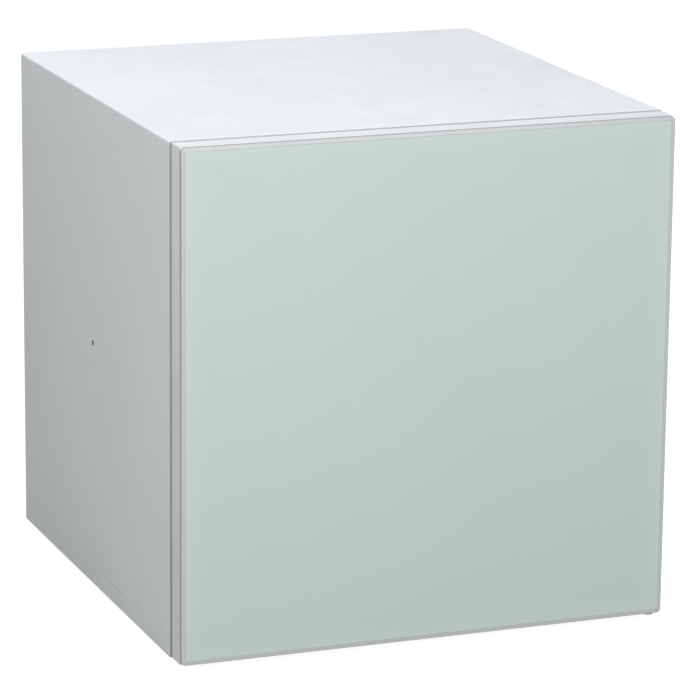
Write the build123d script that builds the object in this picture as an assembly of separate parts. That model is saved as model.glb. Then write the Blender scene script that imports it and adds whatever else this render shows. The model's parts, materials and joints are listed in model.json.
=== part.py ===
from build123d import *

import os
from math import atan, degrees

# ------------------------------------------------------------------ driving dimensions, in millimetres
# Frame: the origin lies on the floor under the middle of the fridge, +X to the right as seen from the
# front, the door faces -Y, +Z is up.
CABINET_WIDTH = 500
CABINET_HEIGHT = 500
CABINET_DEPTH = 484
FOOT_HEIGHT = 10
DOOR_THICKNESS = 28
DOOR_GAP = 3  # between the cabinet's front and the door's back
DOOR_INSET = 1  # the door is this much smaller than the cabinet on each side
GLASS_THICKNESS = 5
BEVEL_WIDTH = 3.5
BEVEL_DEPTH = 0.3
SHEET = 0.8  # pre-painted steel sheet
LINER = 1.6  # vacuum-formed plastic sheet
WALL = 36  # outer skin to the inside of the liner
EDGE_RADIUS = 2.5  # folded edges of the casing
BASE_HEIGHT = 18
SEAM = 0.6  # between the casing and the base tray
TOP_EDGE = 12  # depth of the top panel's turned-down edges
BACK_RECESS = 22  # the back panel stands this far in front of the casing's rear edge
FLAP_CLEARANCE = 1

# ------------------------------------------------------------------ planes worked out from them
HALF_WIDTH = CABINET_WIDTH / 2
DEPTH = CABINET_DEPTH + DOOR_GAP + DOOR_THICKNESS
GLASS_FRONT = -DEPTH / 2
GLASS_BACK = GLASS_FRONT + GLASS_THICKNESS
DOOR_BACK = GLASS_FRONT + DOOR_THICKNESS
FRONT = DOOR_BACK + DOOR_GAP  # the cabinet's front face
BACK = DEPTH / 2
BOTTOM = FOOT_HEIGHT
TOP = BOTTOM + CABINET_HEIGHT
SEAM_HEIGHT = BOTTOM + BASE_HEIGHT
TOP_JOINT = TOP - TOP_EDGE  # where the top panel's edges meet the side panels
MID_HEIGHT = (BOTTOM + TOP) / 2
MID_DEPTH = (FRONT + BACK) / 2
SKIN = HALF_WIDTH - SHEET  # inside face of the casing's sides
PANEL_FRONT = BACK - BACK_RECESS
PANEL_BACK = PANEL_FRONT + SHEET
LIP_BACK = FRONT + LINER

# Food compartment
ROOM_HALF = HALF_WIDTH - WALL
ROOM_FLOOR = 62
ROOM_TOP = TOP - WALL
ROOM_BACK = 197.5
STEP_FRONT = 50  # the floor steps up here, over the compressor
STEP_TOP = 228
ROOM_RADIUS = 10
LIP_HALF = ROOM_HALF + 8
LIP_LOW = ROOM_FLOOR - 8
LIP_TOP = ROOM_TOP + 8
LEDGE_REACH = 7
LEDGE_HEIGHT = 6
LEDGE_FRONT = -130
SHELF_LEVELS = {"lower": 148, "upper": 240}
SHELF_BACKS = {"lower": 42, "upper": 187}
SHELF_FRONT = -108
SHELF_GLASS = 4

# Compressor compartment, open at the back
BAY_FRONT = 90
BAY_TOP = 190
BAY_FLOOR = BOTTOM + 1

# Ice box
ICE_LEFT = -204
ICE_RIGHT = 112
ICE_FRONT = -104
ICE_BACK = 186
ICE_LOW = 370
ICE_TOP = 466
ICE_SHEET = 1.5
ICE_MIDDLE = (ICE_LEFT + ICE_RIGHT) / 2
FLAP_PIVOT_Y = ICE_FRONT - 8
FLAP_PIVOT_Z = ICE_TOP - 7

# Drip tray under the ice box
RUNNER_TOP = ICE_LOW
RUNNER_LOW = 348
TRAY_RIM_TOP = 353.5
TRAY_LOW = 331
TRAY_FRONT = -98
TRAY_BACK = 178

# Door
DOOR_HALF = HALF_WIDTH - DOOR_INSET
DOOR_LOW = BOTTOM + DOOR_INSET
DOOR_TOP = TOP - DOOR_INSET
DOOR_MIDDLE = (DOOR_LOW + DOOR_TOP) / 2
SHELL_WALL = 4.5
SHELL_WEB = 2
WEB_BACK = GLASS_BACK + SHELL_WEB
DOOR_LINER_FRONT = DOOR_BACK - LINER
PLUG_HALF = 200  # the raised inner panel of the door
PLUG_LOW = 66
PLUG_TOP = 470
PLUG_BACK = DOOR_BACK + 16
RECESS_HALF = 165  # the shallow recess in the raised panel
RECESS_LOW = 95
RECESS_TOP = 440
RECESS_FLOOR = DOOR_BACK + 4 - LINER
DOOR_INNER = DOOR_HALF - SHELL_WALL  # inside faces of the door shell's walls
DOOR_INNER_LOW = DOOR_LOW + SHELL_WALL
DOOR_INNER_TOP = DOOR_TOP - SHELL_WALL
GRIP_LEFT = -200  # the finger recess in the door's lower edge
GRIP_RIGHT = -60
GRIP_FRONT = -248
GRIP_TOP = 26
GRIP_WALL = 2.4
GRIP_BACK = DOOR_LINER_FRONT - GRIP_WALL
GASKET_HALF = 239.5
GASKET_LOW = 30
GASKET_TOP = 499.5
GASKET_WIDTH = 16
GASKET_CLEARANCE = 0.1
RACK_HALF = 190
RACK_BACK = PLUG_BACK + 59
RACKS = {"lower": (72, 132), "upper": (262, 318)}

# Hinges: both pins share one upright axis near the door's right rear edge
PIVOT_X = DOOR_HALF - 8
PIVOT_Y = DOOR_BACK - 14
LOWER_PIN_RADIUS = 3
UPPER_PIN_RADIUS = 2.5
RUNNING_CLEARANCE = 0.05
BUSH_RADIUS = 5
SLOT_LOW = 500.2
SLOT_TOP = 502.8
TONGUE_LOW = 500.5
TONGUE_TOP = 502.5
LOWER_PLATE = 3
STRIP_TOP = 508.5
STRIP_THICKNESS = 1.5
BOSS_REACH = 20
UPPER_BOSS_LOW = 484
UPPER_BUSH_LOW = 488
UPPER_PIN_LOW = 490
LOWER_PIN_TOP = 21
LOWER_BUSH_TOP = 23
LOWER_BOSS_TOP = 26

# Feet
FOOT_X = 205
FRONT_FOOT_Y = -175
REAR_FOOT_Y = 215
FOOT_RADIUS = 15
STUD_RADIUS = 4
STUD_TOP = 30

# Side fixing holes, one at the centre of each side
HOLE_RADIUS = 3.5
THREAD_RADIUS = 2.5
THREAD_DEPTH = 14
INSERT_FLANGE = 9
INSERT_BARREL = 6
INSERT_DEPTH = 17
SPIGOT = 0.3  # the insert's raised ring, which centres it in the hole

# Cooling circuit
COMPRESSOR_X = -60
COMPRESSOR_Y = 175
CAN_HALF_WIDTH = 68
CAN_HALF_DEPTH = 56
CAN_TOP = 150
SEAM_REACH = 3
BOX_LEFT = COMPRESSOR_X + CAN_HALF_WIDTH + SEAM_REACH + 0.1
BOX_RIGHT = BOX_LEFT + 36
GRID_Y = 247.5  # plane of the condenser's tube
TUBE_RADIUS = 2.4
GRID_TOP = 486
GRID_PITCH = 34
GRID_RUNS = 9
GRID_LOW = GRID_TOP - GRID_PITCH * (GRID_RUNS - 1)
GRID_HALF = 212
RISER_X = -232
WIRE_RADIUS = 0.8
WIRE_PITCH = 15
WIRE_HALF = 195
CLIP_X = 172.5
CLIP_REACH = 15  # from the tube to the clip's screw
DRIER_X = GRID_HALF
DRIER_LOW = 66
DRIER_TOP = 140
GLAND_X = 150
GLAND_Z = 19
RAIL_TOP = BAY_FLOOR + 2
PLATE_LOW = RAIL_TOP + 12
PLATE_TOP = PLATE_LOW + 2
SUCTION_X = 0
SUCTION_Y = 218
SUCTION_Z = 410
SUCTION_BEND = 14

# Thermostat
DIAL_X = 172
DIAL_Z = 430
DIAL_RADIUS = 17
HOUSING_LEFT = 132
HOUSING_FRONT = -150
HOUSING_BACK = 60
HOUSING_LOW = 396
HOUSING_TOP = ROOM_TOP - ROOM_RADIUS - 2
HOUSING_WALL = 3

CENTRE_CENTRE_LOW = (Align.CENTER, Align.CENTER, Align.MIN)


# ------------------------------------------------------------------ shared shapes
def block(x, y, z):
    """A box given by its low and high value along each axis."""
    pairs = (x, y, z)
    size = [high - low for low, high in pairs]
    middle = [(high + low) / 2 for low, high in pairs]
    return Pos(*middle) * Box(*size)


def rod(radius, start, end):
    """A round bar from one point to another."""
    along = Vector(*end) - Vector(*start)
    plane = Plane(origin=start, z_dir=along.normalized())
    return plane * Cylinder(radius, along.length, align=CENTRE_CENTRE_LOW)


def ring(outer, inner, start, end):
    """A round sleeve from one point to another."""
    return rod(outer, start, end) - rod(inner, start, end)


def rounded(x, y, z, radius, axis):
    """A box whose edges along one axis are rounded."""
    solid = block(x, y, z)
    return fillet(solid.edges().filter_by(axis), radius)


def pipe(radius, bend, *points):
    """A tube's outer shape along straight runs joined by round bends."""
    path = FilletPolyline(*points, radius=bend)
    profile = Plane(origin=path @ 0, z_dir=path % 0) * Circle(radius)
    return sweep(profile, path)


def joined(pieces):
    """Pieces fused into one."""
    whole = pieces[0]
    for piece in pieces[1:]:
        whole = whole + piece
    return whole


# ------------------------------------------------------------------ cabinet shell
def casing_block(inset, radius, back, low):
    """The casing's outer shape moved inwards by a distance, with its folded edges rounded."""
    solid = block((-HALF_WIDTH + inset, HALF_WIDTH - inset), (FRONT + inset, back), (low, TOP - inset))
    front_edges = [e for e in solid.faces().sort_by(Axis.Y)[0].edges() if e.center().Z > low + 1]
    top_edges = solid.edges().filter_by(Axis.Y).group_by(Axis.Z)[-1]
    return fillet(ShapeList(front_edges) + top_edges, radius)


def side_holes(radius, depth):
    """Round holes into both sides at their centres."""
    return [
        rod(radius, (side * (HALF_WIDTH + 1), MID_DEPTH, MID_HEIGHT), (side * depth, MID_DEPTH, MID_HEIGHT))
        for side in (-1, 1)
    ]


def upper_screw_places():
    """Where the two screws of the upper hinge plate go through the casing's front flange."""
    return [(x, (TONGUE_LOW + STRIP_TOP) / 2) for x in (203, 221)]


def casing_sheet():
    """The casing's painted sheet: top and both sides, with a flange round the front opening."""
    casing = casing_block(0, EDGE_RADIUS, BACK, SEAM_HEIGHT + SEAM / 2)
    casing -= casing_block(SHEET, EDGE_RADIUS - SHEET, BACK + 1, BOTTOM)
    casing -= block((-LIP_HALF, LIP_HALF), (FRONT - 1, FRONT + 5), (BOTTOM, LIP_TOP))
    for hole in side_holes(HOLE_RADIUS, HALF_WIDTH - 3):
        casing -= hole
    for x, z in upper_screw_places():
        casing -= rod(1.6, (x, FRONT - 1, z), (x, FRONT + 2, z))
    return casing


def top_panel_zone():
    """The space of the top panel: its turned-down edges, and the front strip between the sides."""
    edges = block((-HALF_WIDTH, HALF_WIDTH), (FRONT, BACK), (TOP_JOINT, TOP))
    return edges + block((-LIP_HALF, LIP_HALF), (FRONT, BACK), (MID_HEIGHT, TOP))


def top_panel():
    """The top sheet, turned down along both sides onto the side panels' closed seam."""
    return casing_sheet() & top_panel_zone()


def side_panels():
    """The two side sheets, each with its strip of the front flange."""
    return casing_sheet() - top_panel_zone()


def side_inserts():
    """Two threaded inserts behind the side holes, each centred in its hole by a low ring."""
    inserts = []
    for side in (-1, 1):
        mouth, face, flange_back, barrel_end, bore_end = (
            (side * (SKIN - depth), MID_DEPTH, MID_HEIGHT)
            for depth in (-SPIGOT, 0, 1.5, INSERT_DEPTH, THREAD_DEPTH)
        )
        flange = rod(INSERT_FLANGE, face, flange_back)
        barrel = rod(INSERT_BARREL, face, barrel_end)
        spigot = rod(HOLE_RADIUS - 0.2, mouth, flange_back)
        inserts.append(flange + barrel + spigot - rod(THREAD_RADIUS, mouth, bore_end))
    return Compound(children=inserts)


def lower_screw_places():
    """Where the two screws of the lower hinge plate go through the base tray."""
    return [(235, -214), (235, -198)]


def base_tray():
    """The shallow steel tray under the cabinet; its sides show as the strip below the seam."""
    tray = block((-HALF_WIDTH, HALF_WIDTH), (FRONT, BACK), (BOTTOM, SEAM_HEIGHT - SEAM / 2))
    tray = fillet(tray.edges().filter_by(Axis.Z).group_by(Axis.Y)[0], EDGE_RADIUS)
    inner_half = HALF_WIDTH - SHEET
    rear_wall = BACK - 7.5
    tray -= block((-inner_half, inner_half), (FRONT + SHEET, rear_wall - 1), (BAY_FLOOR, TOP))
    tray -= block((-inner_half, inner_half), (rear_wall, BACK + 1), (0, TOP))
    for x in (-FOOT_X, FOOT_X):
        tray -= rod(STUD_RADIUS + 0.3, (x, FRONT_FOOT_Y, 0), (x, FRONT_FOOT_Y, 20))
        tray -= rod(3, (x, REAR_FOOT_Y, 0), (x, REAR_FOOT_Y, 20))
    for x, y in lower_screw_places():
        tray -= rod(2.1, (x, y, 0), (x, y, 20))
    tray -= rod(6, (150, rear_wall - 2, 19), (150, BACK, 19))
    return tray


def front_rail():
    """The steel strip across the front below the opening, which the door seal holds on to."""
    return block((-LIP_HALF, LIP_HALF), (FRONT, FRONT + SHEET), (SEAM_HEIGHT, LIP_LOW))


def condenser_clip_places():
    """The four clips that hold the condenser: two on its top run and two on its bottom run."""
    return [(x, z, turn) for z, turn in ((GRID_TOP, -1), (GRID_LOW, 1)) for x in (-CLIP_X, CLIP_X)]


def back_panel():
    """The recessed steel back above the compressor, with rims folded towards the rear."""
    panel = block((-SKIN, SKIN), (PANEL_FRONT, PANEL_FRONT + 10), (BAY_TOP + SHEET, TOP - SHEET))
    panel = fillet(panel.edges().filter_by(Axis.Y).group_by(Axis.Z)[-1], EDGE_RADIUS - SHEET)
    panel -= block((-SKIN + SHEET, SKIN - SHEET), (PANEL_BACK, BACK), (BAY_TOP, TOP - 2 * SHEET))
    for x, z, turn in condenser_clip_places():
        hole_z = z + turn * CLIP_REACH
        panel -= rod(1.8, (x, PANEL_FRONT - 1, hole_z), (x, BACK, hole_z))
    return panel


def compartment_wall():
    """The bent sheet that closes the compressor compartment towards the insulation."""
    upright = block((-SKIN, SKIN), (BAY_FRONT - SHEET, BAY_FRONT), (BAY_FLOOR, BAY_TOP + SHEET))
    ceiling = block((-SKIN, SKIN), (BAY_FRONT - SHEET, PANEL_BACK), (BAY_TOP, BAY_TOP + SHEET))
    return upright + ceiling - suction_hole(4)


# ------------------------------------------------------------------ liner and insulation
def room(grow):
    """The food compartment's space grown outwards by a distance, open at the front."""
    corners = [
        (FRONT - 0.01, ROOM_FLOOR - grow),
        (STEP_FRONT + grow, ROOM_FLOOR - grow),
        (STEP_FRONT + grow, STEP_TOP - grow),
        (ROOM_BACK + grow, STEP_TOP - grow),
        (ROOM_BACK + grow, ROOM_TOP + grow),
        (FRONT - 0.01, ROOM_TOP + grow),
    ]
    outline = make_face(Polyline(*corners, close=True))
    solid = extrude(Plane.YZ * outline, amount=ROOM_HALF + grow, both=True)
    behind = [e for e in solid.edges() if e.center().Y > FRONT + 1]
    nose = [
        e
        for e in behind
        if abs(e.center().Y - STEP_FRONT - grow) < 0.1 and abs(e.center().Z - STEP_TOP + grow) < 0.1
    ]
    others = [e for e in behind if e not in nose]
    solid = fillet(others, ROOM_RADIUS + grow)
    nose = [
        e
        for e in solid.edges().filter_by(Axis.X)
        if abs(e.center().Y - STEP_FRONT - grow) < 0.1 and abs(e.center().Z - STEP_TOP + grow) < 0.1
    ]
    return fillet(nose, ROOM_RADIUS - grow)


def ledges():
    """The ribs along both side walls that the shelves lie on."""
    ribs = []
    for level, height in SHELF_LEVELS.items():
        for side in (-1, 1):
            inner, outer = sorted((side * (ROOM_HALF - LEDGE_REACH), side * (ROOM_HALF + LINER / 2)))
            y = (LEDGE_FRONT, SHELF_BACKS[level] - 4)
            ribs.append(block((inner, outer), y, (height - LEDGE_HEIGHT, height)))
    return ribs


def inner_liner():
    """The white compartment formed from one plastic sheet, with its front lip and shelf ribs."""
    lip = block((-LIP_HALF, LIP_HALF), (FRONT, LIP_BACK), (LIP_LOW, LIP_TOP))
    liner = room(LINER) - block((-HALF_WIDTH, HALF_WIDTH), (FRONT - 1, FRONT), (BOTTOM, TOP))
    liner = liner + lip - room(0)
    for rib in ledges():
        liner += rib
    for x, y in spacer_places():
        liner -= rod(2.1, (x, y, ROOM_TOP - 1), (x, y, ROOM_TOP + 3))
    return liner - suction_hole(4)


def insulation_foam():
    """The foamed-in insulation between the casing and the liner."""
    foam = block((-SKIN, SKIN), (LIP_BACK, PANEL_FRONT), (BAY_FLOOR, TOP - SHEET))
    front_edges = [e for e in foam.faces().sort_by(Axis.Y)[0].edges() if e.center().Z > BAY_FLOOR + 1]
    top_edges = foam.edges().filter_by(Axis.Y).group_by(Axis.Z)[-1]
    foam = chamfer(ShapeList(front_edges) + top_edges, EDGE_RADIUS)
    foam -= block((-HALF_WIDTH, HALF_WIDTH), (BAY_FRONT - SHEET, BACK), (0, BAY_TOP + SHEET))
    foam -= room(LINER)
    for hole in side_holes(6.01, SKIN - 17.01):
        foam -= hole
    for side in (-1, 1):
        start = (side * HALF_WIDTH, MID_DEPTH, MID_HEIGHT)
        foam -= rod(INSERT_FLANGE + 0.01, start, (side * (SKIN - 1.51), MID_DEPTH, MID_HEIGHT))
        foam -= rod(8.3, (side * FOOT_X, FRONT_FOOT_Y, 0), (side * FOOT_X, FRONT_FOOT_Y, STUD_TOP + 1))
    for x, y in lower_screw_places():
        foam -= rod(2.2, (x, y, 0), (x, y, 19))
    for x, z in upper_screw_places():
        foam -= rod(1.7, (x, FRONT, z), (x, FRONT + 15, z))
    for x, y in spacer_places():
        foam -= rod(2.1, (x, y, ROOM_TOP), (x, y, ROOM_TOP + 15))
    for x, z, turn in condenser_clip_places():
        hole_z = z + turn * CLIP_REACH
        foam -= rod(1.8, (x, PANEL_FRONT - 7, hole_z), (x, BACK, hole_z))
    return foam - suction_hole(4)


# ------------------------------------------------------------------ ice box and drip tray
def spacer_places():
    """The four spacers that hang the ice box from the liner's ceiling."""
    return [(x, y) for x in (ICE_LEFT + 40, ICE_RIGHT - 40) for y in (ICE_FRONT + 45, ICE_BACK - 45)]


def ice_box():
    """The evaporator: a box of aluminium sheet, open in front, with raised channels on its top."""
    box = block((ICE_LEFT, ICE_RIGHT), (ICE_FRONT, ICE_BACK), (ICE_LOW, ICE_TOP))
    box -= block(
        (ICE_LEFT + ICE_SHEET, ICE_RIGHT - ICE_SHEET),
        (ICE_FRONT - 1, ICE_BACK - ICE_SHEET),
        (ICE_LOW + ICE_SHEET, ICE_TOP - ICE_SHEET),
    )
    box += ice_channel()
    for x, y in spacer_places():
        box -= rod(2.1, (x, y, ICE_TOP - 5), (x, y, ICE_TOP + 5))
    return box


def ice_channel():
    """The refrigerant channel: one flat winding ridge along the top of the ice box."""
    rows = 6
    pitch = 34
    reach = 62
    first = (ICE_FRONT + ICE_BACK) / 2 - pitch * (rows - 1) / 2
    corners = []
    for row in range(rows):
        sides = (-reach, reach) if row % 2 == 0 else (reach, -reach)
        corners += [(ICE_MIDDLE + side, first + row * pitch) for side in sides]
    path = FilletPolyline(*corners, radius=pitch / 2 - 0.5)
    ridge = trace(path, line_width=9)
    return Pos(0, 0, ICE_TOP - 0.2) * extrude(ridge, amount=2)


def ice_box_frame():
    """The plastic rim round the ice box's mouth, with two ears for the flap's stubs."""
    x = (ICE_LEFT - 3, ICE_RIGHT + 3)
    frame = block(x, (ICE_FRONT - 12, ICE_FRONT), (ICE_LOW - 3, ICE_TOP + 3))
    frame -= block(
        (ICE_LEFT + 5, ICE_RIGHT - 5), (ICE_FRONT - 13, ICE_FRONT + 1), (ICE_LOW + 5, ICE_TOP - 2)
    )
    low = (ICE_LEFT, FLAP_PIVOT_Y, FLAP_PIVOT_Z)
    high = (ICE_RIGHT, FLAP_PIVOT_Y, FLAP_PIVOT_Z)
    return frame - rod(2.05, low, high)


def ice_flap():
    """The flap of the ice box: a panel with a grip lip, turning on two stubs near its top edge."""
    left = ICE_LEFT + 5 + FLAP_CLEARANCE
    right = ICE_RIGHT - 5 - FLAP_CLEARANCE
    low = ICE_LOW + 5 + FLAP_CLEARANCE
    panel = block((left, right), (FLAP_PIVOT_Y - 2, FLAP_PIVOT_Y + 1), (low, FLAP_PIVOT_Z))
    roll = rod(3, (left, FLAP_PIVOT_Y, FLAP_PIVOT_Z), (right, FLAP_PIVOT_Y, FLAP_PIVOT_Z))
    stubs = rod(2, (left - 4, FLAP_PIVOT_Y, FLAP_PIVOT_Z), (right + 4, FLAP_PIVOT_Y, FLAP_PIVOT_Z))
    grip = block((ICE_MIDDLE - 45, ICE_MIDDLE + 45), (FLAP_PIVOT_Y - 12, FLAP_PIVOT_Y - 1), (low, low + 3))
    rim_low = block((left + 8, right - 8), (FLAP_PIVOT_Y + 1, FLAP_PIVOT_Y + 4), (low + 8, low + 11))
    rim_high = Pos(0, 0, 58) * rim_low
    return joined([panel, roll, stubs, grip, rim_low, rim_high])


def ice_box_spacers():
    """Four plastic sleeves between the ice box and the ceiling."""
    return Compound(
        children=[ring(6, 2.1, (x, y, ICE_TOP), (x, y, ROOM_TOP)) for x, y in spacer_places()]
    )


def ice_box_screws():
    """Four screws through the ice box's top and the spacers into the ceiling."""
    screws = []
    for x, y in spacer_places():
        inside = ICE_TOP - ICE_SHEET
        head = rod(4.5, (x, y, inside - 2.5), (x, y, inside))
        screws.append(head + rod(2, (x, y, inside), (x, y, ROOM_TOP + 14)))
    return Compound(children=screws)


def tray_runners():
    """Two angle strips under the ice box that carry the drip tray by its rim."""
    left_edge = ICE_LEFT + 2
    web = block((left_edge, left_edge + 2), (TRAY_FRONT + 4, TRAY_BACK + 6), (RUNNER_LOW, RUNNER_TOP))
    foot = block((left_edge, left_edge + 9), (TRAY_FRONT + 4, TRAY_BACK + 6), (RUNNER_LOW, RUNNER_LOW + 2))
    stop = block((left_edge, left_edge + 9), (TRAY_BACK + 4, TRAY_BACK + 6), (RUNNER_LOW, RUNNER_LOW + 12))
    left = web + foot + stop
    right = left.mirror(Plane.YZ.offset(ICE_MIDDLE))
    return Compound(children=[left, right])


def drip_tray():
    """The shallow tray that slides under the ice box, with a rim on its sides and a pull in front."""
    left = ICE_LEFT + 12
    right = ICE_RIGHT - 12
    y = (TRAY_FRONT, TRAY_BACK)
    tray = rounded((left, right), y, (TRAY_LOW, TRAY_RIM_TOP), 8, Axis.Z)
    tray -= rounded(
        (left + 2, right - 2), (TRAY_FRONT + 2, TRAY_BACK - 2), (TRAY_LOW + 2, TRAY_RIM_TOP + 1), 6, Axis.Z
    )
    rim_z = (TRAY_RIM_TOP - 2, TRAY_RIM_TOP)
    for low, high in ((left - 7, left + 1), (right - 1, right + 7)):
        tray += block((low, high), (TRAY_FRONT + 10, TRAY_BACK - 10), rim_z)
    return tray + block((ICE_MIDDLE - 50, ICE_MIDDLE + 50), (TRAY_FRONT - 12, TRAY_FRONT + 1), rim_z)


# ------------------------------------------------------------------ shelves
def shelf_glass(level):
    """A shelf's glass plate, with rounded rear corners."""
    half = ROOM_HALF - 1.5
    z = SHELF_LEVELS[level]
    plate = block((-half, half), (SHELF_FRONT + 2, SHELF_BACKS[level]), (z, z + SHELF_GLASS))
    return fillet(plate.edges().filter_by(Axis.Z).group_by(Axis.Y)[-1], ROOM_RADIUS + 2)


def shelf_trim(level):
    """The moulded strip along a shelf's front edge; the glass sits in its groove."""
    half = ROOM_HALF - LEDGE_REACH - 1
    z = SHELF_LEVELS[level]
    strip = block((-half, half), (SHELF_FRONT, SHELF_FRONT + 14), (z - 3, z + SHELF_GLASS + 3))
    strip = fillet(strip.edges().filter_by(Axis.X).group_by(Axis.Y)[0], 2.5)
    return strip - block((-half - 1, half + 1), (SHELF_FRONT + 2, SHELF_FRONT + 15), (z, z + SHELF_GLASS))


# ------------------------------------------------------------------ thermostat
def thermostat_housing():
    """The white cover on the right wall that holds the thermostat; its back is open to the wall."""
    housing = block((HOUSING_LEFT, ROOM_HALF), (HOUSING_FRONT, HOUSING_BACK), (HOUSING_LOW, HOUSING_TOP))
    edges = [e for e in housing.edges() if e.center().X < ROOM_HALF - 1]
    housing = fillet(edges, 6)
    housing -= block(
        (HOUSING_LEFT + HOUSING_WALL, ROOM_HALF + 1),
        (HOUSING_FRONT + HOUSING_WALL, HOUSING_BACK - HOUSING_WALL),
        (HOUSING_LOW + HOUSING_WALL, HOUSING_TOP - HOUSING_WALL),
    )
    return housing - rod(3.6, (DIAL_X, HOUSING_FRONT - 1, DIAL_Z), (DIAL_X, HOUSING_FRONT + 5, DIAL_Z))


def thermostat_switch():
    """The thermostat's body inside the housing, with a bore for the dial's shaft."""
    front = HOUSING_FRONT + 3
    body = block((DIAL_X - 20, DIAL_X + 20), (front, front + 34), (DIAL_Z - 18, DIAL_Z + 18))
    return body - rod(3 + RUNNING_CLEARANCE, (DIAL_X, front - 1, DIAL_Z), (DIAL_X, front + 12, DIAL_Z))


def thermostat_shaft():
    """The shaft that the dial turns."""
    return rod(3, (DIAL_X, HOUSING_FRONT - 9, DIAL_Z), (DIAL_X, HOUSING_FRONT + 14, DIAL_Z))


def thermostat_dial():
    """The round dial with a grip bar across its face."""
    rear = HOUSING_FRONT - 1
    disc = rod(DIAL_RADIUS, (DIAL_X, rear - 5, DIAL_Z), (DIAL_X, rear, DIAL_Z))
    bar = block((DIAL_X - 3.5, DIAL_X + 3.5), (rear - 14, rear - 4), (DIAL_Z - 15, DIAL_Z + 15))
    bar = fillet(bar.edges().filter_by(Axis.Y), 3)
    return disc + bar - rod(3, (DIAL_X, HOUSING_FRONT - 9, DIAL_Z), (DIAL_X, HOUSING_FRONT, DIAL_Z))


# ------------------------------------------------------------------ door
def door_glass():
    """The coloured glass front with a shallow bevel along its edges."""
    corner = 4
    y = (GLASS_FRONT + BEVEL_DEPTH, GLASS_BACK)
    slab = rounded((-DOOR_HALF, DOOR_HALF), y, (DOOR_LOW, DOOR_TOP), corner, Axis.Y)
    side = 2 * DOOR_HALF
    front = Plane(origin=(0, GLASS_FRONT + BEVEL_DEPTH, DOOR_MIDDLE), x_dir=(1, 0, 0), z_dir=(0, -1, 0))
    slope = degrees(atan(BEVEL_WIDTH / BEVEL_DEPTH))
    return slab + extrude(front * RectangleRounded(side, side, corner), amount=BEVEL_DEPTH, taper=slope)


def grip_block(grow):
    """The finger recess under the door's left end; grown, it is the recess's own wall."""
    x = (GRIP_LEFT - grow, GRIP_RIGHT + grow)
    return block(x, (GRIP_FRONT - grow, GRIP_BACK + grow), (DOOR_LOW, GRIP_TOP + grow))


def hinge_bosses():
    """Solid corners of the door shell that hold the hinge bushes."""
    x = (PIVOT_X - BOSS_REACH, DOOR_HALF - 1)
    y = (WEB_BACK, DOOR_LINER_FRONT)
    return block(x, y, (UPPER_BOSS_LOW, DOOR_TOP - 1)) + block(x, y, (DOOR_LOW + 1, LOWER_BOSS_TOP))


def hinge_slot():
    """The slot in the door's upper right corner that the upper hinge plate lies in."""
    return block((PIVOT_X - 5, HALF_WIDTH + 1), (PIVOT_Y - 8.4, FRONT), (SLOT_LOW, SLOT_TOP))


def door_shell():
    """The moulded door tray behind the glass, with its hinge corners and finger recess."""
    shell = block((-DOOR_HALF, DOOR_HALF), (GLASS_BACK, DOOR_BACK), (DOOR_LOW, DOOR_TOP))
    right_edges = shell.edges().filter_by(Axis.Z).group_by(Axis.X)[-1]
    shell = fillet(right_edges.sort_by(Axis.Y)[-1:], 4)
    shell -= block((-DOOR_INNER, DOOR_INNER), (WEB_BACK, FRONT), (DOOR_INNER_LOW, DOOR_INNER_TOP))
    shell = shell + hinge_bosses() + grip_block(GRIP_WALL)
    shell -= block((GRIP_LEFT, GRIP_RIGHT), (GRIP_FRONT, GRIP_BACK), (0, GRIP_TOP))
    shell -= hinge_slot()
    shell -= rod(BUSH_RADIUS, (PIVOT_X, PIVOT_Y, UPPER_BUSH_LOW), (PIVOT_X, PIVOT_Y, SLOT_LOW + 1))
    return shell - rod(BUSH_RADIUS, (PIVOT_X, PIVOT_Y, 0), (PIVOT_X, PIVOT_Y, LOWER_BUSH_TOP))


def plug(grow):
    """The raised inner panel's outer shape moved outwards by a distance, with soft edges."""
    half = PLUG_HALF + grow
    y = (DOOR_LINER_FRONT - 3, PLUG_BACK + grow)
    solid = block((-half, half), y, (PLUG_LOW - grow, PLUG_TOP + grow))
    edges = [e for e in solid.edges() if e.center().Y > DOOR_BACK]
    return fillet(edges, 8 + grow)


def plug_recess(shrink):
    """The shallow recess in the middle of the raised inner panel."""
    half = RECESS_HALF - shrink
    y = (RECESS_FLOOR + shrink, PLUG_BACK + 1)
    solid = block((-half, half), y, (RECESS_LOW + shrink, RECESS_TOP - shrink))
    edges = solid.edges().filter_by(Axis.Y)
    return fillet(edges, 8 - shrink)


def door_liner():
    """The formed inner panel of the door: a flat rim and a raised middle with a recess."""
    rim = block((-DOOR_INNER, DOOR_INNER), (DOOR_LINER_FRONT, DOOR_BACK), (DOOR_INNER_LOW, DOOR_INNER_TOP))
    outside = rim + plug(0) - plug_recess(0)
    around = RECESS_HALF + 2
    behind_recess = block(
        (-around, around), (RECESS_FLOOR - LINER, FRONT + 40), (RECESS_LOW - 2, RECESS_TOP + 2)
    )
    liner = outside - (plug(-LINER) - behind_recess) - hinge_slot()
    return liner - block((-HALF_WIDTH, HALF_WIDTH), (GLASS_FRONT, DOOR_LINER_FRONT), (0, TOP))


def door_foam():
    """The insulation inside the door shell."""
    foam = block((-DOOR_INNER, DOOR_INNER), (WEB_BACK, DOOR_LINER_FRONT), (DOOR_INNER_LOW, DOOR_INNER_TOP))
    return foam - hinge_bosses() - grip_block(GRIP_WALL) - hinge_slot()


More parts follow.
